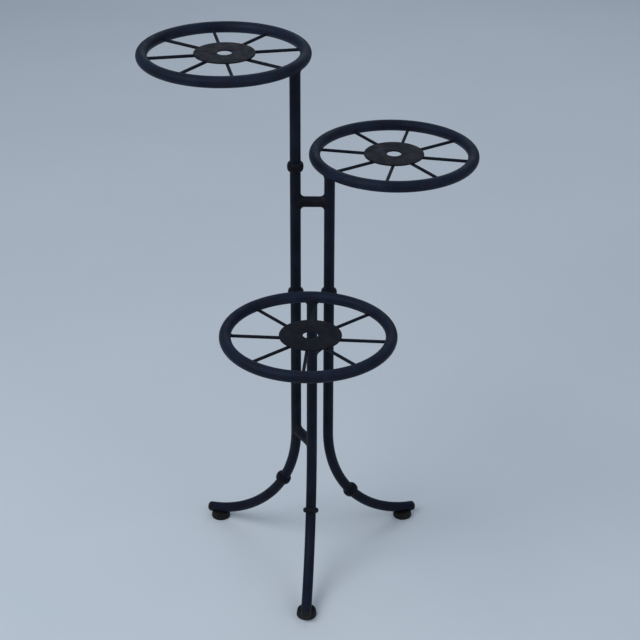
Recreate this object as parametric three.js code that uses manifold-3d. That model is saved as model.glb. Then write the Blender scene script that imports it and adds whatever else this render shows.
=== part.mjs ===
// Three-tier tubular steel plant stand: three bent posts, each with a spoked ring shelf on top.
// Millimetres, +Z up. The origin is on the floor, under the middle of the stand's bounding box, and
// the short post's leg runs out towards -Y. A bearing is an angle in degrees, clockwise from +Y as
// seen from above. The stand is laid out around the axis of the triangle that its posts form.
import * as THREE from "three";
import { mergeVertices } from "three/addons/utils/BufferGeometryUtils.js";
import Module from "manifold-3d";

const wasm = await Module();
wasm.setup();

// ---- Driving dimensions ---------------------------------------------------------------------

const POST_TUBE = { outer: 8, bore: 6.5 };       // radii of the post and cross tubes, 16 x 1.5 mm tube
const RIM_TUBE = { outer: 8.5, bore: 7 };        // radii of the slightly stouter tube of the shelf rims
const RIM_OUTSIDE_DIAMETER = 254;
const POST_SPACING = 50;                         // between the axes of any two posts
const BEND_RADIUS = 204;                         // centre line of each leg
const BEND_START_Z = 213;                        // height at which a post starts to turn outwards
const BEND_SWEEP = 78.4;                         // degrees of the bend, from vertical to the tube's end
const GLIDE_TURN = 73.9;                         // degrees of the bend at which the glide sits
const GAP = 0.3;                                 // clearance between two pieces cut to fit each other

// Each post carries one shelf. Its leg and its shelf may stand a few degrees off the post's bearing,
// and the spokes a few degrees round from the line to the post, as hand welding left them. The set of
// spokes and the plate on it are a few millimetres off the rim's centre, along [X, Y].
const TALL = {
  name: "tall",
  bearing: -60,
  legBearing: -60,
  shelf: { name: "top", bearing: -61, z: 815, spokeTurn: 5, spokesOff: [-1.5, 7], plateOff: [1, 1.5] },
  bead: { turn: 28, length: 13 },
};
const MIDDLE = {
  name: "middle",
  bearing: 60,
  legBearing: 58,
  shelf: { name: "middle", bearing: 54, z: 654, spokeTurn: 2, spokesOff: [5, 4], plateOff: [0, 3] },
  bead: { turn: 38, length: 13 },
};
const SHORT = {
  name: "short",
  bearing: 180,
  legBearing: 182.5,
  shelf: { name: "bottom", bearing: 182, z: 473, spokeTurn: 2, spokesOff: [1, -4], plateOff: [3, 0.5] },
  bead: { turn: 30, length: 9 },
};
const TOWERS = [TALL, MIDDLE, SHORT];

const CROSS_TUBES = [
  { name: "upper_cross_tube", from: TALL, to: MIDDLE, z: 608 },
  { name: "centre_cross_tube", from: MIDDLE, to: SHORT, z: 380 },
  { name: "lower_cross_tube", from: TALL, to: SHORT, z: 217 },
];

const POST_BEADS = [
  { name: "tall_post_upper_bead", on: TALL, z: 664 },
  { name: "tall_post_lower_bead", on: TALL, z: 458 },
  { name: "middle_post_bead", on: MIDDLE, z: 458 },
];

const BEAD = { length: 14.5, radius: 12.1, bore: 8.6 };
const PLATE = { radius: 45, hole: 11, thickness: 2 };
const SPOKE = { count: 8, radius: 2.4, innerEnd: 24, below: 0.1 };
const WELD = { width: 5, reach: 6, waist: 1.2 };  // stand-off from a tube, run along it, stand-off half way
const RIM_WELD_WIDTH = 2.8;                      // stand-off of the weld under a rim, from its post
const PLUG = { head: 6, shank: 12, shankRadius: 5.8, chamfer: 1, edge: 2.5 };
const GLIDE = { radius: 15.25, height: 11, edge: 1.5, taper: 1, cradlePastEnd: 8 };
const SCREW = { shank: 2, length: 11, head: 4.2, headHeight: 2.4, chamfer: 1, recess: 4 };

// ---- Fineness of the facets -----------------------------------------------------------------

const TUBE_CURVE_SEGMENTS = 6;                   // a full circle in a Shape gets twice this many sides
const TUBE_SIDES = 2 * TUBE_CURVE_SEGMENTS;
const BEND_STEPS = 14;
const RIM_STEPS = 40;
const BORE_SIDES = 6;
const ROUND_SIDES = 20;
const ROD_SIDES = 8;
const PROFILE_STEPS = 4;                         // along a rounded profile
const WELD_POINTS_WITHIN = 1e-4;                 // points closer than this are one point

// ---- Worked-out dimensions ------------------------------------------------------------------

const rad = THREE.MathUtils.degToRad;
const RIM_RADIUS = RIM_OUTSIDE_DIAMETER / 2 - RIM_TUBE.outer;
const POST_OFFSET = POST_SPACING / Math.sqrt(3);
const GLIDE_OUT = BEND_RADIUS * (1 - Math.cos(rad(GLIDE_TURN)));
const SPOKE_DROP = PLATE.thickness / 2 + SPOKE.below + SPOKE.radius;  // spoke's axis, below the rim's
const POST_DROP = SPOKE_DROP + SPOKE.radius + GAP;                   // post's top, below the rim's axis

// ---- Materials ------------------------------------------------------------------------------

function finish(color, roughness, metalness) {
  return new THREE.MeshStandardMaterial({ color, roughness, metalness });
}

const tubePaint = finish(0x191d28, 0.45, 0.35);
const platePaint = finish(0x211e23, 0.55, 0.3);
const rodPaint = finish(0x15171f, 0.5, 0.35);
const beadPaint = finish(0x16171c, 0.5, 0.35);
const plastic = finish(0x17120f, 0.6, 0.0);
const rubber = finish(0x1b1410, 0.8, 0.0);
const steel = finish(0x8d9094, 0.35, 1.0);

// ---- Solid helpers --------------------------------------------------------------------------

function toSolid(geometry) {
  const bare = geometry.clone();
  bare.deleteAttribute("normal");
  bare.deleteAttribute("uv");
  const welded = mergeVertices(bare, WELD_POINTS_WITHIN);
  return new wasm.Manifold(new wasm.Mesh({
    numProp: 3,
    vertProperties: new Float32Array(welded.attributes.position.array),
    triVerts: new Uint32Array(welded.index.array),
  }));
}

function toGeometry(solid) {
  const mesh = solid.getMesh();
  const geometry = new THREE.BufferGeometry();
  geometry.setAttribute("position", new THREE.BufferAttribute(new Float32Array(mesh.vertProperties), 3));
  geometry.setIndex(new THREE.BufferAttribute(new Uint32Array(mesh.triVerts), 1));
  geometry.computeVertexNormals();
  return geometry;
}

function cutFrom(geometry, ...cutters) {
  return toGeometry(cutters.reduce((solid, cutter) => solid.subtract(toSolid(cutter)), toSolid(geometry)));
}

// The level unit vector along a bearing.
function towards(bearing) {
  return new THREE.Vector3(Math.sin(rad(bearing)), Math.cos(rad(bearing)), 0);
}

// A turned solid about Z from [radius, height] corners, going up its outside.
function turned(corners, sides = ROUND_SIDES) {
  const points = corners.map(([radius, height]) => new THREE.Vector2(radius, height));
  return new THREE.LatheGeometry(points, sides).rotateX(Math.PI / 2);
}

function uprightCylinder(radius, bottom, top, sides = ROUND_SIDES) {
  return new THREE.CylinderGeometry(radius, radius, top - bottom, sides)
    .rotateX(Math.PI / 2)
    .translate(0, 0, (bottom + top) / 2);
}

// [radius, height] corners of a quarter ellipse, from its start angle to its end angle in degrees.
function ellipseCorners(centreRadius, centreHeight, radial, axial, from, to) {
  return Array.from({ length: PROFILE_STEPS + 1 }, (_, i) => {
    const angle = rad(from + ((to - from) * i) / PROFILE_STEPS);
    return [centreRadius + radial * Math.cos(angle), centreHeight + axial * Math.sin(angle)];
  });
}

function named(name, geometry, material) {
  const mesh = new THREE.Mesh(geometry, material);
  mesh.name = name;
  return mesh;
}

// ---- The centre line of a post --------------------------------------------------------------

// Straight down from the top, then outwards along +Y. The parameter counts stations, so that the
// straight run is a single station long and the facets go where the tube bends.
class PostPath extends THREE.Curve {
  constructor(topZ, sweep = BEND_SWEEP) {
    super();
    this.topZ = topZ;
    this.sweep = sweep;
    this.stations = 1 + BEND_STEPS;
  }

  turnAt(t) {
    return rad(this.sweep) * Math.max(0, (t * this.stations - 1) / BEND_STEPS);
  }

  getPoint(t, target = new THREE.Vector3()) {
    const turn = this.turnAt(t);
    const drop = Math.max(0, 1 - t * this.stations) * (this.topZ - BEND_START_Z);
    const out = BEND_RADIUS * (1 - Math.cos(turn));
    return target.set(0, out, BEND_START_Z + drop - BEND_RADIUS * Math.sin(turn));
  }

  getPointAt(u, target) {
    return this.getPoint(u, target);
  }

  getTangentAt(u, target = new THREE.Vector3()) {
    const turn = this.turnAt(u);
    return target.set(0, Math.sin(turn), -Math.cos(turn));
  }
}

function sweptRound(path, outer, bore = 0) {
  const section = new THREE.Shape().absarc(0, 0, outer, 0, 2 * Math.PI);
  if (bore > 0) {
    section.holes.push(new THREE.Path().absarc(0, 0, bore, 0, 2 * Math.PI));
  }
  const settings = { extrudePath: path, steps: path.stations, curveSegments: TUBE_CURVE_SEGMENTS };
  return new THREE.ExtrudeGeometry(section, settings);
}

// A frame on the bend: its origin on the centre line and its Z along the tube, outwards.
function bendFrame(turn) {
  const frame = new THREE.Group();
  frame.position.set(
    0,
    BEND_RADIUS * (1 - Math.cos(rad(turn))),
    BEND_START_Z - BEND_RADIUS * Math.sin(rad(turn)),
  );
  frame.rotation.x = -Math.PI + rad(turn);
  return frame;
}

// ---- Posts, their welds and what sits on them -----------------------------------------------

// The room that a rim needs, centred on the origin. The clearance is doubled because the facets of
// the rim itself stand inside its true circle by about one GAP.
function rimRoom() {
  return new THREE.TorusGeometry(RIM_RADIUS, RIM_TUBE.outer + 2 * GAP, TUBE_SIDES, 2 * RIM_STEPS);
}

// The weld that carries the rim: a collar of metal that spreads from the post up to the rim, and
// stops short of the spoke that runs out above it.
function rimWeld(rimZ) {
  const top = rimZ - POST_DROP;
  const bottom = rimZ - RIM_TUBE.outer - WELD.reach;
  const inside = (POST_TUBE.outer + POST_TUBE.bore) / 2;
  return turned([
    [inside, bottom],
    [POST_TUBE.outer, bottom],
    [POST_TUBE.outer + WELD.waist, bottom + WELD.reach / 2],
    [POST_TUBE.outer + RIM_WELD_WIDTH, top],
    [inside, top],
    [inside, bottom],
  ]);
}

// A post in its own frame: it stands on the origin and its leg runs out along +Y.
function post({ name, legBearing, shelf }) {
  const tube = sweptRound(new PostPath(shelf.z - POST_DROP), POST_TUBE.outer, POST_TUBE.bore);
  const body = toSolid(tube).add(toSolid(rimWeld(shelf.z)));
  const shelfTurn = rad(shelf.bearing - legBearing);
  const shelfRoom = rimRoom()
    .translate(RIM_RADIUS * Math.sin(shelfTurn), RIM_RADIUS * Math.cos(shelfTurn), shelf.z);
  const screwHole = uprightCylinder(SCREW.shank + GAP, 0, GLIDE.height + SCREW.shank)
    .translate(0, GLIDE_OUT, 0);
  const shaped = body.subtract(toSolid(shelfRoom)).subtract(toSolid(screwHole));
  return named(`${name}_post`, toGeometry(shaped), tubePaint);
}

function bead(name, length) {
  const lower = ellipseCorners(BEAD.bore, 0, BEAD.radius - BEAD.bore, length / 2, -90, 0);
  const upper = ellipseCorners(BEAD.bore, 0, BEAD.radius - BEAD.bore, length / 2, 0, 90);
  return named(name, turned([...lower, ...upper.slice(1), lower[0]]), beadPaint);
}

function plug(name) {
  const { head, shank, shankRadius, chamfer, edge } = PLUG;
  return named(name, turned([
    [0, -shank],
    [shankRadius - chamfer, -shank],
    [shankRadius, chamfer - shank],
    [shankRadius, GAP],
    [POST_TUBE.outer, GAP],
    ...ellipseCorners(POST_TUBE.outer - edge, head - edge, edge, edge, 0, 90),
    [0, head],
  ]), plastic);
}

// A moulded glide: round, flat below, hollowed above to cradle the tube and below for its screw. The
// hollow follows the leg's bend on past the end of the tube.
function glide(name) {
  const { radius, height, edge, taper, cradlePastEnd } = GLIDE;
  const clear = SCREW.shank + GAP;
  const pocket = SCREW.head + GAP;
  const pad = turned([
    [pocket, 0],
    [radius - edge, 0],
    ...ellipseCorners(radius - edge, edge, edge, edge, -90, 0).slice(1),
    [radius - taper, height - edge],
    [radius - taper - edge, height],
    [clear, height],
    [clear, SCREW.recess],
    [pocket, SCREW.recess],
    [pocket, 0],
  ]).translate(0, GLIDE_OUT, 0);
  const leg = new PostPath(BEND_START_Z + BEND_RADIUS, BEND_SWEEP + cradlePastEnd);
  return named(name, cutFrom(pad, sweptRound(leg, POST_TUBE.outer + 2 * GAP)), rubber);
}

function glideScrew(name) {
  const { shank, length, head, headHeight, chamfer, recess } = SCREW;
  const headTop = recess - GAP / 2;
  const headBottom = recess - headHeight;
  const screw = named(name, turned([
    [0, headBottom],
    [head - chamfer, headBottom],
    [head, headBottom + chamfer],
    [head, headTop],
    [shank, headTop],
    [shank, recess + length - chamfer],
    [0, recess + length],
  ], TUBE_SIDES), steel);
  screw.position.y = GLIDE_OUT;
  return screw;
}

function tower(spec) {
  const group = new THREE.Group();
  group.position.copy(postAxis(spec));
  group.rotation.z = -rad(spec.legBearing);
  const beadFrame = bendFrame(spec.bead.turn);
  beadFrame.add(bead(`${spec.name}_leg_bead`, spec.bead.length));
  const endFrame = bendFrame(BEND_SWEEP);
  endFrame.add(plug(`${spec.name}_leg_plug`));
  group.add(post(spec), beadFrame, endFrame);
  group.add(glide(`${spec.name}_leg_glide`), glideScrew(`${spec.name}_leg_glide_screw`));
  for (const place of POST_BEADS.filter((place) => place.on === spec)) {
    const knot = bead(place.name, BEAD.length);
    knot.position.z = place.z;
    group.add(knot);
  }
  return group;
}

// ---- Cross tubes ----------------------------------------------------------------------------

// A short tube between two posts, along its own X. Its ends are cut to the posts' round sides, and
// the welds above and below it reach along the posts without standing out beyond them.
function crossTube({ name, from, to, z }) {
  const half = POST_SPACING / 2;
  const weldStart = half - POST_TUBE.outer - WELD.reach;
  const wide = POST_TUBE.outer + WELD.width;
  const outside = [
    [wide, -half],
    [wide, POST_TUBE.outer - half],
    [POST_TUBE.outer + WELD.waist, -weldStart - WELD.reach / 2],
    [POST_TUBE.outer, -weldStart],
  ];
  const mirrored = outside.map(([radius, along]) => [radius, -along]).reverse();
  const bore = [[POST_TUBE.bore, half], [POST_TUBE.bore, -half]];
  const blank = turned([bore[1], ...outside, ...mirrored, ...bore]).rotateY(Math.PI / 2);
  const beyond = 2 * wide;
  const slab = new THREE.BoxGeometry(POST_SPACING, 2 * POST_TUBE.outer, 2 * beyond);
  const postRoom = uprightCylinder(POST_TUBE.outer + GAP, -beyond, beyond);
  const shaped = toSolid(blank)
    .intersect(toSolid(slab))
    .subtract(toSolid(postRoom.clone().translate(-half, 0, 0)))
    .subtract(toSolid(postRoom.clone().translate(half, 0, 0)));
  const mesh = named(name, toGeometry(shaped), tubePaint);
  const [start, end] = [postAxis(from), postAxis(to)];
  mesh.position.copy(start).add(end).multiplyScalar(0.5).setZ(z);
  mesh.rotation.z = Math.atan2(end.y - start.y, end.x - start.x);
  return mesh;
}

function postAxis({ bearing }) {
  return towards(bearing).multiplyScalar(POST_OFFSET);
}

// ---- Ring shelves ---------------------------------------------------------------------------

// The rim is a closed ring of tube. The one opening into its bore faces down into the post.
function rim(name) {
  const outside = new THREE.TorusGeometry(RIM_RADIUS, RIM_TUBE.outer, TUBE_SIDES, RIM_STEPS);
  const inside = new THREE.TorusGeometry(RIM_RADIUS, RIM_TUBE.bore, BORE_SIDES, RIM_STEPS);
  const vent = uprightCylinder(POST_TUBE.bore / 2, -2 * RIM_TUBE.outer, -RIM_TUBE.bore / 2, TUBE_SIDES)
    .translate(0, -RIM_RADIUS, 0);
  return named(name, cutFrom(outside, inside, vent), tubePaint);
}

function plate(name) {
  const disc = new THREE.Shape().absarc(0, 0, PLATE.radius, 0, 2 * Math.PI);
  disc.holes.push(new THREE.Path().absarc(0, 0, PLATE.hole, 0, 2 * Math.PI));
  const settings = { depth: PLATE.thickness, bevelEnabled: false, curveSegments: ROUND_SIDES };
  const geometry = new THREE.ExtrudeGeometry(disc, settings).translate(0, 0, -PLATE.thickness / 2);
  return named(name, toGeometry(toSolid(geometry)), platePaint);
}

// A rod under the plate at its inner end, and cut to the rim's round side at its outer end. It points
// straight away from the middle of the spokes, which is off the centre of the rim.
function spoke(name, bearing, middle) {
  const out = towards(bearing);
  const along = middle.dot(out);
  const reach = Math.sqrt(RIM_RADIUS ** 2 - middle.lengthSq() + along ** 2) - along;
  const rod = new THREE.CylinderGeometry(SPOKE.radius, SPOKE.radius, reach - SPOKE.innerEnd, ROD_SIDES)
    .translate(0, (reach + SPOKE.innerEnd) / 2, -SPOKE_DROP)
    .rotateZ(-rad(bearing))
    .translate(middle.x, middle.y, 0);
  return named(name, cutFrom(rod, rimRoom()), rodPaint);
}

// A shelf's own frame has its origin at the centre of the rim.
function shelf(spec) {
  const { name, bearing, z, spokeTurn, spokesOff, plateOff } = spec.shelf;
  const group = new THREE.Group();
  group.position.copy(postAxis(spec)).addScaledVector(towards(bearing), RIM_RADIUS).setZ(z);
  const ring = rim(`${name}_rim`);
  ring.rotation.z = -rad(bearing);
  const disc = plate(`${name}_plate`);
  disc.position.set(...plateOff, 0);
  group.add(ring, disc);
  for (let i = 0; i < SPOKE.count; i += 1) {
    const spokeBearing = bearing + 180 + spokeTurn - (360 * i) / SPOKE.count;
    group.add(spoke(`${name}_spoke_${i + 1}`, spokeBearing, new THREE.Vector3(...spokesOff, 0)));
  }
  return group;
}

// ---- The stand ------------------------------------------------------------------------------

const stand = new THREE.Group();
stand.add(...TOWERS.map(tower), ...CROSS_TUBES.map(crossTube));
stand.add(...TOWERS.map(shelf));

const middle = new THREE.Box3().setFromObject(stand, true).getCenter(new THREE.Vector3());
stand.position.set(-middle.x, -middle.y, 0);

export default stand;
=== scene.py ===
import math

import bmesh
import bpy
from mathutils import Euler, Matrix, Vector, noise


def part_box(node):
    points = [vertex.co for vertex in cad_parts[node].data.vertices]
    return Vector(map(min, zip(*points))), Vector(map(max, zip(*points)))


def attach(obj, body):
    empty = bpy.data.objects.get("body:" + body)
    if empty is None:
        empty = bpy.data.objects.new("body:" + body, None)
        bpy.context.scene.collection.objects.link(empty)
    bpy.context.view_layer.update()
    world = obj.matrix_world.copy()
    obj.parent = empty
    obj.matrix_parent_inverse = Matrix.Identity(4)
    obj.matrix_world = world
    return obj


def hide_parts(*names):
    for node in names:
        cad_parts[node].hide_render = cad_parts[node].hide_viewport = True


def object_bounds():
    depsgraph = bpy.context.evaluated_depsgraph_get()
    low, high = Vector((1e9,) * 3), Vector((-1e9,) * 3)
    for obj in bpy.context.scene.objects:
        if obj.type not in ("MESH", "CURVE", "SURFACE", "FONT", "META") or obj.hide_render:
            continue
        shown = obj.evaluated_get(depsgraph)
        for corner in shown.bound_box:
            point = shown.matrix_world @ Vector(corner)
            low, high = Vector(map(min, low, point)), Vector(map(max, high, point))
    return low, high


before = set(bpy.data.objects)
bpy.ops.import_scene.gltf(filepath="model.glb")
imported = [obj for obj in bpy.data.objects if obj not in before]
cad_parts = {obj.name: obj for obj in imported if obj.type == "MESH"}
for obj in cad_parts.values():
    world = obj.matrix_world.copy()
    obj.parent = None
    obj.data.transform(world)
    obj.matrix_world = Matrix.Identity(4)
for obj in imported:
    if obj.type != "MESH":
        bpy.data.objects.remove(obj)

CAD_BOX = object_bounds()
BODY = "root"
MM = 0.001
UP = Vector((0, 0, 1))
TURN = 2 * math.pi

# ---- Sizes, the same as the CAD's -------------------------------------------------------------

POST_RADIUS = 8 * MM
POST_BORE = 6.5 * MM
RIM_TUBE_RADIUS = 8.5 * MM
RIM_RADIUS = 118.5 * MM
BEND_RADIUS = 204 * MM
BEND_START_Z = 213 * MM
BEND_SWEEP = math.radians(78.4)
BEAD_BULGE = 4.1 * MM
PLATE_RADIUS = 45 * MM
PLATE_HOLE = 11 * MM
PLATE_THICKNESS = 2 * MM
SPOKE_RADIUS = 2.4 * MM
SPOKE_INNER_END = 24 * MM
SPOKE_DROP = 3.5 * MM                # a spoke's axis, below the rim's
PLUG_HEAD = 6 * MM
PLUG_EDGE = 2.5 * MM
PLUG_SEAM = 0.3 * MM
GLIDE_RADIUS = 15.25 * MM
GLIDE_HEIGHT = 11 * MM
SCREW_HEAD_RADIUS = 4.2 * MM
SCREW_HEAD_BOTTOM = 1.6 * MM
SCREW_POCKET_RADIUS = 4.5 * MM
SCREW_POCKET_DEPTH = 4 * MM

# ---- Sizes of the looks alone -----------------------------------------------------------------

POST_TOP_DROP = 2.5 * MM             # post's top, below the axis of its rim and hidden in it
LOOSE = 0.5 * MM                     # how far a leg's bead sits off the centre of its tube
SCREW_HEAD_TOP = 3.85 * MM           # just clear of the pocket's end
RIPPLE_SIZE = 1.6 * MM               # of weld metal along a seam
LUMP_SIZE = 5 * MM                   # of the unevenness of the larger welds
SEEDS_PER_METRE = 900                # turns a length into a seed for the unevenness

# ---- Fineness of the skins --------------------------------------------------------------------

TUBE_SIDES = 40
BEND_STEPS = 56
RIM_STEPS = 180
FINE_SIDES = 128
SCREW_SIDES = 72
COLLAR_SIDES = 64
PLUG_SIDES = 48
SMALL_SIDES = 24
WELD_STEPS = 96
SPOKE_WELD_STEPS = 40
SHARP_ANGLE = math.radians(38)
MERGE_DISTANCE = 1e-6


# ---- Building skins from rings of points ------------------------------------------------------

def add_skin(mesh, rings, looped=False):
    """Adds quads to a bmesh through rings of points. With looped, the last ring joins the first."""
    corners = [[mesh.verts.new(point) for point in ring] for ring in rings]
    pairs = list(zip(corners, corners[1:]))
    if looped:
        pairs.append((corners[-1], corners[0]))
    for lower, upper in pairs:
        for i, corner in enumerate(lower):
            j = (i + 1) % len(lower)
            mesh.faces.new((corner, lower[j], upper[j], upper[i]))


def finished_mesh(name, *skins):
    """A smooth-shaded mesh of closed skins, each a list of rings or a (rings, looped) pair."""
    mesh = bmesh.new()
    for skin in skins:
        rings, looped = skin if isinstance(skin, tuple) else (skin, False)
        add_skin(mesh, rings, looped)
    bmesh.ops.remove_doubles(mesh, verts=mesh.verts, dist=MERGE_DISTANCE)
    bmesh.ops.recalc_face_normals(mesh, faces=mesh.faces)
    data = bpy.data.meshes.new(name)
    mesh.to_mesh(data)
    mesh.free()
    data.shade_smooth()
    data.set_sharp_from_angle(angle=SHARP_ANGLE)
    return data


def ring(centre, side, other, radius, count=TUBE_SIDES):
    """Points of a circle about centre, in the plane of two unit vectors."""
    angles = [TURN * i / count for i in range(count)]
    return [centre + radius * (math.cos(a) * side + math.sin(a) * other) for a in angles]


def turned(profile, count):
    """Rings about Z through (radius, height) pairs."""
    across, along = Vector((1, 0, 0)), Vector((0, 1, 0))
    return [ring(Vector((0, 0, height)), across, along, radius, count) for radius, height in profile]


def arc(centre_radius, centre_height, radial, axial, start, end, steps=8):
    """(radius, height) pairs on an ellipse, from one angle in degrees to another."""
    angles = [math.radians(start + (end - start) * i / steps) for i in range(steps + 1)]
    return [(centre_radius + radial * math.cos(a), centre_height + axial * math.sin(a)) for a in angles]


def show(name, mesh, material, node, place=Matrix.Identity(4)):
    """Puts a piece in the scene in place of a CAD node."""
    piece = bpy.data.objects.new(name, mesh)
    bpy.context.scene.collection.objects.link(piece)
    piece.matrix_world = place
    if not mesh.materials:
        mesh.materials.append(material)
    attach(piece, BODY)
    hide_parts(node)
    return piece


def middle_of(node):
    """The middle of a CAD node's box."""
    low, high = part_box(node)
    return (low + high) / 2


def level(vector):
    """The vector without its height."""
    return Vector((vector.x, vector.y, 0))


def at(origin, x_axis, y_axis, z_axis):
    """The placing matrix of a piece whose own axes lie along the three given ones."""
    turn = Matrix((x_axis, y_axis, z_axis)).transposed().to_4x4()
    return Matrix.Translation(origin) @ turn


# ---- Weld metal -------------------------------------------------------------------------------

def uneven(point, size, seed=0.0):
    """Smooth hand-made unevenness between -1 and 1, with features of about the given size."""
    return noise.noise(point / size + Vector((seed, -seed, 0.5 * seed)))


def weld(feet, steps=6, bulge=0.15 * MM, sunk=0.12 * MM, root=0.9 * MM):
    """A closed ring of weld metal along a seam. Each entry gives the foot of the weld on either
    surface, the corner between them and the outward direction. The face is hollow between the feet."""
    rings = []
    for foot_a, foot_b, corner, outward in feet:
        rise = outward * (bulge * (1 + uneven(corner, RIPPLE_SIZE)))
        low_a = foot_a - outward * sunk
        low_b = foot_b - outward * sunk
        section = []
        for i in range(steps + 1):
            t = i / steps
            hollow = (1 - t) ** 2 * low_a + 2 * t * (1 - t) * corner + t ** 2 * low_b
            section.append(hollow + rise * math.sin(math.pi * t))
        section.append(corner - outward * root)
        rings.append(section)
    return rings, True


# ---- Posts ------------------------------------------------------------------------------------

class Leg:
    """The centre line of a post: straight down, then bent outwards to the leg's end."""

    def __init__(self, axis, glide):
        self.axis = level(axis)
        self.out = level(glide - axis).normalized()
        self.side = UP.cross(self.out)

    def bent(self, turn):
        """Centre and direction of the tube where it has turned by an angle, in radians."""
        centre = self.axis + self.out * BEND_RADIUS * (1 - math.cos(turn))
        centre += UP * (BEND_START_Z - BEND_RADIUS * math.sin(turn))
        direction = self.out * math.sin(turn) - UP * math.cos(turn)
        return centre, direction

    def place(self, turn, raised=0.0):
        """Placing matrix of something threaded on the bend, its Z running along the tube, outwards. It
        may sit off the tube's centre line, raised towards the inside of the bend."""
        centre, direction = self.bent(turn)
        across = direction.cross(self.side)
        upper = -across if across.z < 0 else across
        return at(centre + upper * raised, self.side, across, direction)

    def upright(self):
        """Placing matrix of something level on the post's axis, its Y towards the leg's end."""
        return at(self.axis, -self.side, self.out, UP)


def turn_at_height(height):
    """How far the tube has turned, in radians, where its centre is at a height."""
    return math.asin((BEND_START_Z - height) / BEND_RADIUS)


def post_skin(leg, top):
    """The tube: a blind bore at the lower end, where the plug goes in."""
    end_edge = 0.4 * MM
    softened = 0.3 * end_edge
    bore_depth = 15 * MM
    across = leg.side
    high = leg.axis + UP * top
    rings = [ring(high, across, -leg.out, 0), ring(high, across, -leg.out, POST_RADIUS)]
    for i in range(BEND_STEPS + 1):
        centre, direction = leg.bent((BEND_SWEEP - end_edge / BEND_RADIUS) * i / BEND_STEPS)
        rings.append(ring(centre, across, across.cross(direction), POST_RADIUS))
    end, direction = leg.bent(BEND_SWEEP)
    other = across.cross(direction)
    rings.append(ring(end - direction * softened, across, other, POST_RADIUS - softened))
    rings.append(ring(end, across, other, POST_RADIUS - end_edge))
    rings.append(ring(end, across, other, POST_BORE))
    rings.append(ring(end - direction * bore_depth, across, other, POST_BORE))
    rings.append(ring(end - direction * bore_depth, across, other, 0))
    return rings


def rim_coordinates(point, rim_centre):
    """Where the underside of a rim lies over a point: the angle round its tube, from straight down
    towards the outside, and the bearing of the place on the ring."""
    radial = level(point - rim_centre)
    offset = (radial.length - RIM_RADIUS) / RIM_TUBE_RADIUS
    return math.asin(max(-1, min(1, offset))), math.atan2(radial.y, radial.x)


def rim_surface(tube_angle, swing, rim_centre):
    """A point of a rim's surface and the surface's normal there."""
    outward = Vector((math.cos(swing), math.sin(swing), 0))
    normal = outward * math.sin(tube_angle) - UP * math.cos(tube_angle)
    return rim_centre + outward * RIM_RADIUS + normal * RIM_TUBE_RADIUS, normal


def rim_weld(post_axis, rim_centre):
    """Weld metal between a post's upper end and the underside of its rim."""
    reach = 4.4 * MM
    run = 5.6 * MM
    lumpiness = 0.18
    inward = level(rim_centre - post_axis).normalized()
    tangent = UP.cross(inward)
    feet = []
    for i in range(WELD_STEPS):
        angle = TURN * i / WELD_STEPS
        around = math.cos(angle) * inward + math.sin(angle) * tangent
        start = level(post_axis) + around * POST_RADIUS
        tube_angle, swing = rim_coordinates(start, rim_centre)
        corner, normal = rim_surface(tube_angle, swing, rim_centre)
        size = 1 + lumpiness * uneven(corner, LUMP_SIZE, rim_centre.z)
        outward = level(start - rim_centre).normalized()
        toe_swing = swing + reach * size * around.dot(UP.cross(outward)) / RIM_RADIUS
        toe_angle = tube_angle + reach * size * around.dot(outward) / RIM_TUBE_RADIUS
        toe, _ = rim_surface(toe_angle, toe_swing, rim_centre)
        heel = corner - UP * run * size
        feet.append((heel, toe, corner, (around + normal).normalized()))
    return weld(feet)


# ---- Cross tubes ------------------------------------------------------------------------------

def cross_tube_mesh(name, span):
    """A tube between two posts along X, its ends hidden in them, with the weld at either end."""
    across = Vector((0, 1, 0))
    half = span / 2
    hidden = 2 * MM
    ends = [Vector((sign * (half - hidden), 0, 0)) for sign in (-1, 1)]
    tube = [ring(ends[0], across, UP, 0)]
    tube += [ring(end, across, UP, POST_RADIUS) for end in ends]
    tube += [ring(ends[1], across, UP, 0)]
    return finished_mesh(name, tube, saddle_weld(half, 1), saddle_weld(half, -1))


def saddle_weld(half, sign):
    """Weld metal where a cross tube meets the post at one end. It is fullest above and below."""
    run = 7.0 * MM
    rise = 6.4 * MM
    side_share = 0.4
    side_falloff = 1.5
    lumpiness = 0.16
    feet = []
    for i in range(WELD_STEPS):
        angle = TURN * i / WELD_STEPS
        sine, cosine = math.sin(angle), math.cos(angle)
        lap = math.asin(cosine)
        corner_x = sign * (half - POST_RADIUS * math.cos(lap))
        corner = Vector((corner_x, POST_RADIUS * cosine, POST_RADIUS * sine))
        lump = 1 + lumpiness * uneven(corner, LUMP_SIZE, half * sign * SEEDS_PER_METRE)
        fullness = (side_share + (1 - side_share) * abs(sine) ** side_falloff) * lump
        heel = Vector((corner.x - sign * run * fullness, corner.y, corner.z))
        toe_lap = lap + rise * fullness * cosine / POST_RADIUS
        toe = Vector((
            sign * (half - POST_RADIUS * math.cos(toe_lap)),
            POST_RADIUS * math.sin(toe_lap),
            corner.z + rise * fullness * sine,
        ))
        tube_normal = Vector((0, cosine, sine))
        post_normal = Vector((-sign * math.cos(lap), math.sin(lap), 0))
        feet.append((heel, toe, corner, (tube_normal + post_normal).normalized()))
    return weld(feet)


# ---- Shelves ----------------------------------------------------------------------------------

def middle_of_spokes(shelf):
    """Where the lines of a shelf's rods cross: the first and fifth share one, the third is square to it."""
    first, opposite, square = (middle_of(f"{shelf}_spoke_{number}") for number in (1, 5, 3))
    along = (first - opposite).normalized()
    return first + along * (square - first).dot(along)


def rim_mesh():
    """A closed ring of tube about the origin."""
    rings = []
    for i in range(RIM_STEPS):
        angle = TURN * i / RIM_STEPS
        outward = Vector((math.cos(angle), math.sin(angle), 0))
        rings.append(ring(outward * RIM_RADIUS, outward, UP, RIM_TUBE_RADIUS))
    return finished_mesh("rim_tube", (rings, True))


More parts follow.
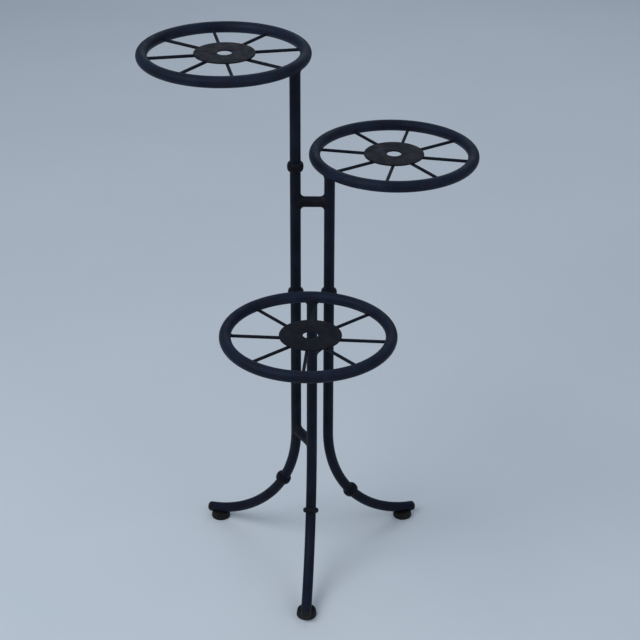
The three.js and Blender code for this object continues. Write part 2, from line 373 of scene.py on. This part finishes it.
def plate_mesh():
    """A sheared disc with a punched hole: the upper edges a little rounded, the lower ones sharp."""
    half = PLATE_THICKNESS / 2
    soft, crisp = 0.55 * MM, 0.2 * MM
    flats = (38 * MM, 30 * MM, 20 * MM)
    profile = (
        arc(PLATE_RADIUS - soft, half - soft, soft, soft, 0, 90, 5)
        + [(radius, half) for radius in flats]
        + arc(PLATE_HOLE + soft, half - soft, soft, soft, 90, 180, 5)
        + arc(PLATE_HOLE + crisp, crisp - half, crisp, crisp, 180, 270, 3)
        + [(radius, -half) for radius in reversed(flats)]
        + arc(PLATE_RADIUS - crisp, crisp - half, crisp, crisp, -90, 0, 3)
    )
    return finished_mesh("drilled_plate", (turned(profile, FINE_SIDES), True))


def spoke_mesh(name, rim_centre):
    """A rod along X from under the plate to the rim, with its weld at the rim and tacks below. The
    middle of the spokes is at the origin and the centre of the rim where it is given."""
    across = Vector((0, 1, 0))
    edge = 0.5 * MM
    into_rim = 1.5 * MM
    tack_reach = 34 * MM
    tack_length = 9 * MM
    low = UP * -SPOKE_DROP
    far = rim_face(0, -SPOKE_DROP, rim_centre).x + into_rim
    profile = [
        (SPOKE_INNER_END, 0),
        (SPOKE_INNER_END, SPOKE_RADIUS - edge),
        (SPOKE_INNER_END + edge, SPOKE_RADIUS),
        (far, SPOKE_RADIUS),
        (far, 0),
    ]
    rod = [ring(Vector((x, 0, 0)) + low, across, UP, radius, SMALL_SIDES) for x, radius in profile]
    tacks = [tack(tack_reach, side, tack_length) for side in (-1, 1)]
    return finished_mesh(name, rod, spoke_weld(rim_centre), *tacks)


def rim_face(aside, height, rim_centre):
    """The point of a rim's inner side that a line along X meets."""
    inner_radius = RIM_RADIUS - math.sqrt(RIM_TUBE_RADIUS ** 2 - height ** 2)
    along = math.sqrt(inner_radius ** 2 - (aside - rim_centre.y) ** 2)
    return Vector((rim_centre.x + along, aside, height))


def spoke_weld(rim_centre):
    """Weld metal round a spoke where it meets the inside of the rim."""
    run = 1.9 * MM
    spread = 1.7 * MM
    lumpiness = 0.25
    lump_size = 2.5 * MM
    seed = rim_centre.x * SEEDS_PER_METRE
    feet = []
    for i in range(SPOKE_WELD_STEPS):
        angle = TURN * i / SPOKE_WELD_STEPS
        around = Vector((0, math.cos(angle), math.sin(angle)))
        corner = rim_face(SPOKE_RADIUS * around.y, SPOKE_RADIUS * around.z - SPOKE_DROP, rim_centre)
        tube_angle = -math.acos(-corner.z / RIM_TUBE_RADIUS)
        swing = math.atan2(corner.y - rim_centre.y, corner.x - rim_centre.x)
        _, normal = rim_surface(tube_angle, swing, rim_centre)
        size = 1 + lumpiness * uneven(corner, lump_size, seed)
        toe, _ = rim_surface(
            tube_angle - spread * size * around.z / RIM_TUBE_RADIUS,
            swing + spread * size * around.y / RIM_RADIUS,
            rim_centre,
        )
        heel = corner - Vector((run * size, 0, 0))
        feet.append((heel, toe, corner, (around + normal).normalized()))
    return weld(feet, steps=5, bulge=0.12 * MM, sunk=0.08 * MM, root=0.6 * MM)


def tack(centre, side, length):
    """A tack of weld metal between a spoke and the underside of the plate, on one side of the rod."""
    steps = 14
    width = 2.2 * MM
    sunk = 0.1 * MM
    lumpiness = 0.25
    lump_size = 2.2 * MM
    # Points below the plate: the share of the width that each is at, and how far it hangs.
    hanging = ((0.72, 0.9 * MM), (0.45, 1.6 * MM), (0.2, 2.2 * MM), (0, 1.2 * MM))
    start = side * SPOKE_RADIUS / 2
    plate_under = -PLATE_THICKNESS / 2
    rings = []
    for i in range(steps + 1):
        t = 2 * i / steps - 1
        x = centre + length / 2 * t
        fullness = math.sqrt(max(0.0, 1 - t * t))
        fullness *= 1 + lumpiness * uneven(Vector((x, side * MM, 0)), lump_size, side)
        spread = side * width * fullness
        section = [
            Vector((x, start, plate_under + sunk)),
            Vector((x, start + spread, plate_under + sunk / 2)),
        ]
        for share, drop in hanging:
            section.append(Vector((x, start + spread * share, plate_under - drop * fullness)))
        rings.append(section)
    return rings


# ---- Beads, plugs, glides and screws ----------------------------------------------------------

def bead_mesh(name, length):
    """A collar brazed on the tube: a full, rounded band with a thin fillet of braze at either side."""
    fillet = 0.5 * MM
    fillet_edge = 0.04 * MM
    sunk = 0.3 * MM
    steps = 26
    squareness = 0.8
    lumpiness = 0.05
    lump_size = 6 * MM
    half = length / 2
    band = []
    for i in range(steps + 1):
        angle = math.pi * (i / steps - 0.5)
        height = half * math.copysign(abs(math.sin(angle)) ** squareness, angle)
        band.append((POST_RADIUS + BEAD_BULGE * math.cos(angle) ** squareness, height))
    braze = [
        (POST_RADIUS - sunk, half + fillet),
        (POST_RADIUS + fillet_edge, half + fillet),
        (POST_RADIUS + 0.2 * fillet, half + 0.3 * fillet),
    ]
    profile = [(radius, -height) for radius, height in braze] + band[1:-1] + braze[::-1]
    rings = turned(profile, COLLAR_SIDES)
    for points in rings:
        for point in points:
            reach = level(point).length - POST_RADIUS
            lump = 1 + lumpiness * uneven(point, lump_size, length * SEEDS_PER_METRE)
            point.xy = point.xy.normalized() * (POST_RADIUS + reach * lump)
    return finished_mesh(name, (rings, True))


def plug_mesh():
    """A moulded plug: its domed head closes the tube's end and its shank goes into the bore."""
    shank = 12 * MM
    shank_radius = POST_BORE - 0.7 * MM
    lead_in = 1 * MM
    lip = 0.25 * MM
    dome_rise = 0.4 * MM
    profile = (
        [(0, -shank), (shank_radius - lead_in, -shank), (shank_radius, lead_in - shank)]
        + [(shank_radius, PLUG_SEAM), (POST_RADIUS - lip, PLUG_SEAM)]
        + [(POST_RADIUS, PLUG_SEAM + lip)]
        + arc(POST_RADIUS - PLUG_EDGE, PLUG_HEAD - PLUG_EDGE - dome_rise, PLUG_EDGE, PLUG_EDGE, 0, 80, 10)
        + [(POST_RADIUS * 0.4, PLUG_HEAD - dome_rise / 4), (0, PLUG_HEAD)]
    )
    return finished_mesh("domed_plug", turned(profile, PLUG_SIDES))


def glide_mesh(reach):
    """A moulded pad under the leg's end, its top hollowed to the tube. The post's axis is at the
    origin and the pad sits at the given reach along Y."""
    edge = 1.6 * MM
    taper = 1.0 * MM
    pocket_edge = 0.4 * MM
    draft = 0.1 * MM
    groove = 0.35 * MM
    groove_low, groove_high = 3.2 * MM, 4.2 * MM
    groove_slope = 0.3 * MM
    crown_steps = 30
    side = GLIDE_RADIUS - draft
    shoulder = GLIDE_RADIUS - taper
    outline = (
        [(0, SCREW_POCKET_DEPTH)]
        + [(SCREW_POCKET_RADIUS, SCREW_POCKET_DEPTH), (SCREW_POCKET_RADIUS, pocket_edge)]
        + [(SCREW_POCKET_RADIUS + pocket_edge, 0)]
        + arc(GLIDE_RADIUS - edge, edge, edge, edge, -90, 0, 8)
        + [(side, groove_low), (side - groove, groove_low + groove_slope)]
        + [(side - groove, groove_high - groove_slope), (side - draft, groove_high)]
        + arc(shoulder - edge, GLIDE_HEIGHT - edge, edge, edge, 0, 90, 8)
    )
    crown = [(shoulder - edge) * (1 - i / crown_steps) for i in range(1, crown_steps + 1)]
    rings = turned(outline + [(radius, GLIDE_HEIGHT) for radius in crown], FINE_SIDES)
    for points in rings:
        for point in points:
            point.y += reach
            point.z = min(point.z, cradle_height(point))
    return finished_mesh("moulded_glide", rings)


def cradle_height(point):
    """Height of the leg's underside over a point of the pad, less a hair's gap, or the pad's own top
    beside the leg."""
    gap = 0.12 * MM
    reach = POST_RADIUS + gap
    if abs(point.x) >= reach:
        return GLIDE_HEIGHT
    sweep_radius = BEND_RADIUS + math.sqrt(reach ** 2 - point.x ** 2)
    level_run = BEND_RADIUS - point.y
    return BEND_START_Z - math.sqrt(max(0.0, sweep_radius ** 2 - level_run ** 2))


def screw_mesh():
    """A pan-head screw, head down, with a cross recess."""
    shank = 2 * MM
    shank_end = 14 * MM
    point_length = 1 * MM
    edge = 0.6 * MM
    face_radius = 0.86 * SCREW_HEAD_RADIUS
    face_steps = 16
    profile = (
        [(face_radius * i / face_steps, SCREW_HEAD_BOTTOM) for i in range(face_steps + 1)]
        + arc(SCREW_HEAD_RADIUS - edge, SCREW_HEAD_BOTTOM + edge, edge, edge, -90, 0, 6)
        + [(SCREW_HEAD_RADIUS, SCREW_HEAD_TOP), (shank, SCREW_HEAD_TOP)]
        + [(shank, shank_end), (0, shank_end + point_length)]
    )
    rings = turned(profile, SCREW_SIDES)
    for points in rings:
        for point in points:
            point.z += cross_recess(point)
    return finished_mesh("pan_head_screw", rings)


def cross_recess(point):
    """How deep the screw's cross recess is cut at a point of the head's face."""
    face_depth = 0.1 * MM
    half_slot, arm, depth = 0.45 * MM, 2.3 * MM, 1.2 * MM
    shallowing = 0.55
    near, far = sorted((abs(point.x), abs(point.y)))
    if point.z > SCREW_HEAD_BOTTOM + face_depth or near > half_slot or far > arm:
        return 0.0
    return depth * (1 - shallowing * far / arm)


# ---- Materials --------------------------------------------------------------------------------

class Finish:
    """A procedural material, with short calls for the nodes it is made of."""

    def __init__(self, name):
        self.material = bpy.data.materials.new(name)
        self.material.use_nodes = True
        self.tree = self.material.node_tree
        self.shader = self.tree.nodes["Principled BSDF"]
        self.normal = None
        self.local = self.node("ShaderNodeTexCoord").outputs["Object"]
        place = self.node("ShaderNodeObjectInfo").outputs["Location"]
        self.coordinates = self.vector("ADD", self.local, place)

    def node(self, kind, **settings):
        made = self.tree.nodes.new(kind)
        for key, value in settings.items():
            setattr(made, key, value)
        return made

    def feed(self, socket, value):
        """Links a node's output to a socket, or sets the socket to a plain value."""
        if isinstance(value, bpy.types.NodeSocket):
            self.tree.links.new(value, socket)
        else:
            socket.default_value = value

    def vector(self, operation, first, second, output="Vector"):
        made = self.node("ShaderNodeVectorMath", operation=operation)
        self.feed(made.inputs[0], first)
        self.feed(made.inputs[1], second)
        return made.outputs[output]

    def maths(self, operation, first, second=0.0):
        made = self.node("ShaderNodeMath", operation=operation)
        self.feed(made.inputs[0], first)
        self.feed(made.inputs[1], second)
        return made.outputs[0]

    def plus(self, first, second):
        return self.maths("ADD", first, second)

    def times(self, first, second):
        return self.maths("MULTIPLY", first, second)

    def split(self, vector):
        """The X, Y and Z of a vector, by name."""
        made = self.node("ShaderNodeSeparateXYZ")
        self.feed(made.inputs[0], vector)
        return made.outputs

    def noise(self, size, detail=3.0, roughness=0.55, vector=None):
        """Noise between 0 and 1 with features of about the given size in metres."""
        made = self.node("ShaderNodeTexNoise")
        self.feed(made.inputs["Vector"], vector or self.coordinates)
        self.feed(made.inputs["Scale"], 1 / size)
        self.feed(made.inputs["Detail"], detail)
        self.feed(made.inputs["Roughness"], roughness)
        return made.outputs["Fac"]

    def between(self, value, low, high, to_low=0.0, to_high=1.0):
        """Maps low..high to to_low..to_high, smoothly and clamped."""
        made = self.node("ShaderNodeMapRange", interpolation_type="SMOOTHSTEP", clamp=True)
        for socket, number in zip(made.inputs[:5], (value, low, high, to_low, to_high)):
            self.feed(socket, number)
        return made.outputs["Result"]

    def patches(self, size, low, high, to_low=0.0, to_high=1.0, detail=3.0):
        """Soft patches of about the given size: noise below low gives to_low, above high to_high."""
        return self.between(self.noise(size, detail), low, high, to_low, to_high)

    def mix(self, share, first, second):
        """The first colour, with a share of the second over it."""
        made = self.node("ShaderNodeMix", data_type="RGBA")
        self.feed(made.inputs["Factor"], share)
        self.feed(made.inputs["A"], (*first, 1) if isinstance(first, tuple) else first)
        self.feed(made.inputs["B"], (*second, 1) if isinstance(second, tuple) else second)
        return made.outputs["Result"]

    def facing_up(self):
        return self.split(self.node("ShaderNodeNewGeometry").outputs["Normal"])["Z"]

    def height_above_floor(self):
        return self.split(self.node("ShaderNodeNewGeometry").outputs["Position"])["Z"]

    def worn_edges(self, width):
        """1 at edges narrower than the given width, 0 on flat and gently curved faces."""
        bevel = self.node("ShaderNodeBevel", samples=6)
        self.feed(bevel.inputs["Radius"], width)
        true_normal = self.node("ShaderNodeNewGeometry").outputs["Normal"]
        likeness = self.vector("DOT_PRODUCT", bevel.outputs["Normal"], true_normal, "Value")
        return self.between(likeness, 0.995, 0.9)

    def rubbed_edges(self, width, size, low, high):
        """Worn edges, broken up into patches of about the given size."""
        return self.times(self.worn_edges(width), self.patches(size, low, high))

    def bump(self, value, depth, strength=1.0):
        """Adds relief of the given depth in metres on top of what is there."""
        made = self.node("ShaderNodeBump")
        self.feed(made.inputs["Strength"], strength)
        self.feed(made.inputs["Distance"], depth)
        self.feed(made.inputs["Height"], value)
        if self.normal is not None:
            self.feed(made.inputs["Normal"], self.normal)
        self.normal = made.outputs["Normal"]

    def done(self, **inputs):
        """The material, with the shader's inputs fed by name, an underscore standing for a space."""
        for name, value in inputs.items():
            self.feed(self.shader.inputs[name.replace("_", " ")], value)
        if self.normal is not None:
            self.feed(self.shader.inputs["Normal"], self.normal)
        return self.material


PRIMER = (0.04, 0.026, 0.02)
# Paler bluish colours mixed onto up-facing faces: partly dust, partly a painted sheen of light from above.
BLUE_DUST_AND_SHEEN = (0.0105, 0.016, 0.034)
PALE_DUST_AND_SHEEN = (0.014, 0.022, 0.045)
PLATE_DUST_AND_SHEEN = (0.0082, 0.0115, 0.0235)
PAINT_SHINE = 0.1
GRAIN_DEPTH = 0.02 * MM


def paint(name, dark, light, tint_and_highlight, dust_and_sheen, chips, relief):
    """Satin paint on steel: mottled, with brown-violet patches that are partly tone and partly painted
    highlights, dusty on top with a painted bluish sheen of light from above, and rubbed or chipped to a
    brown primer.
    The chips value is a threshold, so a higher one leaves fewer; relief is the depth of the waviness."""
    finish = Finish(name)
    colour = finish.mix(finish.patches(45 * MM, 0.36, 0.64, detail=4), dark, light)
    # Brown-violet patches: partly the paint's own uneven tone, partly painted low-contrast highlights.
    colour = finish.mix(finish.patches(16 * MM, 0.45, 0.72, 0.0, 0.6, detail=4), colour, tint_and_highlight)
    rub = finish.rubbed_edges(0.9 * MM, 6 * MM, 0.4, 0.62)
    speck = finish.patches(1.1 * MM, chips, chips + 0.04, detail=2)
    speck = finish.times(speck, finish.patches(24 * MM, 0.5, 0.6, detail=2))
    worn = finish.maths("MAXIMUM", finish.times(rub, 0.75), speck)
    colour = finish.mix(worn, colour, PRIMER)
    # Painted top light: up-facing faces get a paler bluish colour in patches, partly dust and partly a
    # painted sheen of light from above. The same share also makes them rougher.
    on_top = finish.between(finish.facing_up(), 0.25, 0.95)
    dust_and_sheen_share = finish.times(on_top, finish.patches(14 * MM, 0.3, 0.75, 0.1, 0.5, detail=5))
    colour = finish.mix(dust_and_sheen_share, colour, dust_and_sheen)
    finish.bump(finish.noise(1.3 * MM, 2), GRAIN_DEPTH, 0.5)
    finish.bump(finish.noise(7 * MM, 2), relief, 0.6)
    finish.bump(worn, -0.05 * MM, 0.6)
    roughness = finish.plus(finish.patches(30 * MM, 0.3, 0.7, 0.42, 0.54), finish.times(dust_and_sheen_share, 0.3))
    roughness = finish.plus(roughness, finish.times(worn, 0.25))
    return finish.done(Base_Color=colour, Roughness=roughness, Specular_IOR_Level=PAINT_SHINE)


def ring_scuffs(finish):
    """Faint scuffs in rings about a piece's own Z, as pots leave them when they are turned."""
    place = finish.split(finish.local)
    squares = [finish.maths("POWER", finish.maths("ABSOLUTE", place[axis]), 2.0) for axis in "XY"]
    radius = finish.maths("SQRT", finish.plus(*squares))
    wobble = finish.times(finish.noise(30 * MM, 2), 6 * MM)
    ringed = finish.node("ShaderNodeCombineXYZ")
    finish.feed(ringed.inputs["X"], finish.plus(radius, wobble))
    scuffs = finish.noise(0.7 * MM, 3, 0.7, ringed.outputs[0])
    return finish.times(finish.between(scuffs, 0.56, 0.74), finish.patches(12 * MM, 0.42, 0.66))


def plate_paint():
    """The paint of the plates, with faint rings left by pots."""
    finish = Finish("plate_satin_paint")
    scuffs = ring_scuffs(finish)
    mottle = finish.patches(20 * MM, 0.36, 0.66, detail=4)
    colour = finish.mix(mottle, (0.0054, 0.0052, 0.0084), (0.0092, 0.0086, 0.0138))
    colour = finish.mix(finish.times(scuffs, 0.4), colour, (0.03, 0.029, 0.034))
    rub = finish.rubbed_edges(0.7 * MM, 4 * MM, 0.42, 0.6)
    colour = finish.mix(finish.times(rub, 0.7), colour, PRIMER)
    # Painted top light: the plate's upper face gets a paler bluish colour in patches, partly dust and
    # partly a painted sheen of light from above.
    on_top = finish.between(finish.facing_up(), 0.5, 1.0)
    dust_and_sheen_share = finish.times(on_top, finish.patches(9 * MM, 0.35, 0.7, 0.05, 0.4, detail=5))
    colour = finish.mix(dust_and_sheen_share, colour, PLATE_DUST_AND_SHEEN)
    finish.bump(finish.noise(1.2 * MM, 2), GRAIN_DEPTH, 0.5)
    finish.bump(scuffs, -0.01 * MM, 0.5)
    roughness = finish.plus(finish.patches(16 * MM, 0.3, 0.7, 0.46, 0.6), finish.times(dust_and_sheen_share, 0.3))
    return finish.done(Base_Color=colour, Roughness=roughness, Specular_IOR_Level=PAINT_SHINE)


def moulded(name, dark, light, grain, roughness):
    """Black moulded plastic or rubber: fine grain, slight cloudiness, and floor dust low down."""
    dirt_colour, rubbed_colour = (0.05, 0.046, 0.042), (0.028, 0.025, 0.023)
    dirt_top, dirt_bottom = 7 * MM, 0.5 * MM
    shine_range = 0.06
    finish = Finish(name)
    colour = finish.mix(finish.patches(6 * MM, 0.35, 0.65, detail=4), dark, light)
    near_floor = finish.between(finish.height_above_floor(), dirt_top, dirt_bottom)
    dirt = finish.times(near_floor, finish.patches(2.5 * MM, 0.4, 0.66, detail=5))
    colour = finish.mix(finish.times(dirt, 0.4), colour, dirt_colour)
    rub = finish.rubbed_edges(0.6 * MM, 3 * MM, 0.35, 0.65)
    colour = finish.mix(finish.times(rub, 0.45), colour, rubbed_colour)
    finish.bump(finish.noise(0.45 * MM, 2), 0.03 * MM, grain)
    finish.bump(finish.noise(5 * MM, 2), 0.08 * MM, 0.3)
    shine = finish.patches(4 * MM, 0.3, 0.7, roughness - shine_range, roughness + shine_range)
    return finish.done(Base_Color=colour, Roughness=shine, Specular_IOR_Level=0.25)


def plated_steel():
    """Zinc-plated steel, turned, with a little tarnish."""
    zinc, tarnished_zinc = (0.56, 0.57, 0.58), (0.36, 0.34, 0.3)
    finish = Finish("zinc_plated_steel")
    tarnish = finish.patches(1.6 * MM, 0.4, 0.65, detail=4)
    colour = finish.mix(tarnish, zinc, tarnished_zinc)
    finish.bump(finish.noise(0.25 * MM, 2), 0.01 * MM, 0.4)
    roughness = finish.between(tarnish, 0.0, 1.0, 0.28, 0.5)
    return finish.done(Base_Color=colour, Metallic=1.0, Roughness=roughness)


# ---- The stand --------------------------------------------------------------------------------

post_paint = paint(
    "post_satin_paint",
    dark=(0.0038, 0.0058, 0.014), light=(0.0074, 0.011, 0.0238), tint_and_highlight=(0.0125, 0.0082, 0.0118),
    dust_and_sheen=BLUE_DUST_AND_SHEEN, chips=0.72, relief=0.05 * MM,
)
rim_paint = paint(
    "rim_satin_paint",
    dark=(0.0062, 0.01, 0.0215), light=(0.0114, 0.0175, 0.036), tint_and_highlight=(0.0185, 0.0128, 0.0165),
    dust_and_sheen=PALE_DUST_AND_SHEEN, chips=0.72, relief=0.05 * MM,
)
bar_paint = paint(
    "bar_satin_paint",
    dark=(0.0062, 0.0058, 0.0088), light=(0.0105, 0.0092, 0.013), tint_and_highlight=(0.0205, 0.0118, 0.01),
    dust_and_sheen=BLUE_DUST_AND_SHEEN, chips=0.7, relief=0.08 * MM,
)
rod_paint = paint(
    "rod_satin_paint",
    dark=(0.0045, 0.006, 0.0115), light=(0.008, 0.0105, 0.018), tint_and_highlight=(0.0115, 0.0085, 0.0105),
    dust_and_sheen=BLUE_DUST_AND_SHEEN, chips=0.74, relief=0.04 * MM,
)
bead_paint = paint(
    "bead_satin_paint",
    dark=(0.0036, 0.0044, 0.0076), light=(0.0064, 0.0072, 0.011), tint_and_highlight=(0.0135, 0.0088, 0.0085),
    dust_and_sheen=BLUE_DUST_AND_SHEEN, chips=0.7, relief=0.12 * MM,
)
plate_finish = plate_paint()
plug_plastic = moulded(
    "plug_plastic",
    dark=(0.0055, 0.0048, 0.0048), light=(0.009, 0.0078, 0.0075), grain=0.35, roughness=0.5,
)
glide_rubber = moulded(
    "glide_rubber",
    dark=(0.006, 0.0048, 0.0045), light=(0.0105, 0.0082, 0.0072), grain=0.7, roughness=0.74,
)
screw_steel = plated_steel()

TALL, MIDDLE, SHORT = "tall", "middle", "short"
SHELF_OF = {TALL: "top", MIDDLE: "middle", SHORT: "bottom"}
SPOKES_PER_SHELF = 8
POST_BEADS = ("tall_post_upper_bead", "tall_post_lower_bead", "middle_post_bead")
CROSS_TUBES = {
    "upper_cross_tube": (TALL, MIDDLE),
    "centre_cross_tube": (MIDDLE, SHORT),
    "lower_cross_tube": (TALL, SHORT),
}

tall_axis = level(middle_of("tall_post_upper_bead"))
middle_axis = level(middle_of("middle_post_bead"))
post_spacing = (middle_axis - tall_axis).length
triangle_height = post_spacing * math.sqrt(3) / 2
short_axis = (tall_axis + middle_axis) / 2 + Vector((0, -triangle_height, 0))
POST_AXES = {TALL: tall_axis, MIDDLE: middle_axis, SHORT: short_axis}
STAND_AXIS = (tall_axis + middle_axis + short_axis) / 3

leg_bead = bead_mesh("leg_collar", 12 * MM)
short_leg_bead = bead_mesh("short_leg_collar", 8 * MM)
post_bead = bead_mesh("post_collar", 14 * MM)
plug = plug_mesh()
screw = screw_mesh()
rim = rim_mesh()
plate = plate_mesh()


def add_post(post, axis, rim_at):
    """A post with everything on its leg: collar, end plug, pad and screw."""
    glide_at = middle_of(f"{post}_leg_glide")
    leg = Leg(axis, glide_at)
    skin = post_skin(leg, rim_at.z - POST_TOP_DROP)
    tube = finished_mesh(f"{post}_bent_tube", skin, rim_weld(axis, rim_at))
    show(f"{post}_post_tube", tube, post_paint, f"{post}_post")
    bead_node = f"{post}_leg_bead"
    bead_turn = turn_at_height(middle_of(bead_node).z)
    collar = short_leg_bead if post == SHORT else leg_bead
    show(f"{post}_leg_collar", collar, bead_paint, bead_node, leg.place(bead_turn, LOOSE))
    show(f"{post}_leg_end_plug", plug, plug_plastic, f"{post}_leg_plug", leg.place(BEND_SWEEP))
    pad = glide_mesh(level(glide_at - axis).length)
    show(f"{post}_leg_pad", pad, glide_rubber, f"{post}_leg_glide", leg.upright())
    screw_place = Matrix.Translation(level(glide_at))
    show(f"{post}_leg_pad_screw", screw, screw_steel, f"{post}_leg_glide_screw", screw_place)


def add_shelf(shelf, rim_at):
    """A rim, its plate and the rods between them."""
    show(f"{shelf}_rim_ring", rim, rim_paint, f"{shelf}_rim", Matrix.Translation(rim_at))
    plate_place = Matrix.Translation(middle_of(f"{shelf}_plate"))
    show(f"{shelf}_drilled_plate", plate, plate_finish, f"{shelf}_plate", plate_place)
    hub = middle_of_spokes(shelf)
    hub.z = rim_at.z
    for number in range(1, SPOKES_PER_SHELF + 1):
        node = f"{shelf}_spoke_{number}"
        outward = level(middle_of(node) - hub).normalized()
        place = at(hub, outward, UP.cross(outward), UP)
        rod = spoke_mesh(f"{shelf}_rod_{number}", place.inverted() @ rim_at)
        show(f"{shelf}_rod_{number}", rod, rod_paint, node, place)


def add_cross_tube(node, start, end):
    """A short tube between two posts."""
    direction = (POST_AXES[end] - POST_AXES[start]).normalized()
    place = at(middle_of(node), direction, UP.cross(direction), UP)
    mesh = cross_tube_mesh(f"{node}_mesh", post_spacing)
    show(node.replace("tube", "bar"), mesh, bar_paint, node, place)


for post, axis in POST_AXES.items():
    shelf = SHELF_OF[post]
    rim_at = middle_of(f"{shelf}_rim")
    add_post(post, axis, rim_at)
    add_shelf(shelf, rim_at)

for node in POST_BEADS:
    place = Matrix.Translation(middle_of(node))
    show(node.replace("bead", "collar"), post_bead, bead_paint, node, place)

for node, (start, end) in CROSS_TUBES.items():
    add_cross_tube(node, start, end)


# ---- Floor, light and camera ------------------------------------------------------------------

COOL_WHITE = (0.88, 0.95, 1.0)
COOLER_WHITE = (0.85, 0.93, 1.0)
SKY = (0.58, 0.69, 0.84, 1)
SKY_STRENGTH = 0.35


def floor():
    """A wide pale floor with a faint, soft mottle."""
    half = 12
    mottle_size = 0.6
    finish = Finish("pale_floor")
    mottle = finish.patches(mottle_size, 0.3, 0.7)
    colour = finish.mix(mottle, (0.735, 0.765, 0.80), (0.765, 0.79, 0.82))
    finish.bump(finish.noise(4 * MM, 3), 0.1 * MM, 0.2)
    corners = [(-half, -half, 0), (half, -half, 0), (half, half, 0), (-half, half, 0)]
    sheet = bpy.data.meshes.new("studio_floor")
    sheet.from_pydata(corners, [], [(0, 1, 2, 3)])
    sheet.materials.append(finish.done(Base_Color=colour, Roughness=0.85, Specular_IOR_Level=0.2))
    ground = bpy.data.objects.new("studio_floor", sheet)
    bpy.context.scene.collection.objects.link(ground)


def softbox(name, offset, size, power, colour):
    """A square area light, offset from the stand's axis and aimed at its middle."""
    target = STAND_AXIS + UP * CAD_BOX[1].z / 2
    lamp = bpy.data.lights.new(name, "AREA")
    lamp.size = size
    lamp.energy = power
    lamp.color = colour
    light = bpy.data.objects.new(name, lamp)
    light.location = STAND_AXIS + Vector(offset)
    light.rotation_euler = (target - light.location).to_track_quat("-Z", "Y").to_euler()
    bpy.context.scene.collection.objects.link(light)


def camera():
    """Looks down on the stand from the front, aimed at a point just right of its axis."""
    pitch_down = 0.4921
    turn_left = 0.0045
    roll = 0.0037
    distance = 2.5973
    aim = STAND_AXIS + Vector((0.0118, 0, 0.4189))
    upright = Euler((math.pi / 2 - pitch_down, 0, turn_left)).to_matrix()
    rolled = upright @ Matrix.Rotation(roll, 3, "Z")
    backwards = upright @ Vector((0, 0, 1))
    seen_from = bpy.data.objects.new("camera", bpy.data.cameras.new("camera"))
    seen_from.data.sensor_width = 36
    seen_from.data.lens = 96.68
    seen_from.matrix_world = Matrix.Translation(aim + distance * backwards) @ rolled.to_4x4()
    bpy.context.scene.collection.objects.link(seen_from)
    bpy.context.scene.camera = seen_from


def sky():
    """An even, dim, pale blue light from all round."""
    world = bpy.data.worlds.new("studio")
    world.use_nodes = True
    background = world.node_tree.nodes["Background"]
    background.inputs["Color"].default_value = SKY
    background.inputs["Strength"].default_value = SKY_STRENGTH
    bpy.context.scene.world = world


floor()
softbox("key_light", offset=(-1.6, -1.2, 2.6), size=2.2, power=44, colour=COOL_WHITE)
softbox("fill_light", offset=(2.2, -1.8, 1.8), size=2.6, power=20, colour=COOL_WHITE)
softbox("back_light", offset=(0.4, 2.6, 2.4), size=2.4, power=14, colour=COOLER_WHITE)
camera()
sky()
bpy.context.scene.view_settings.view_transform = "Standard"

bpy.context.view_layer.update()
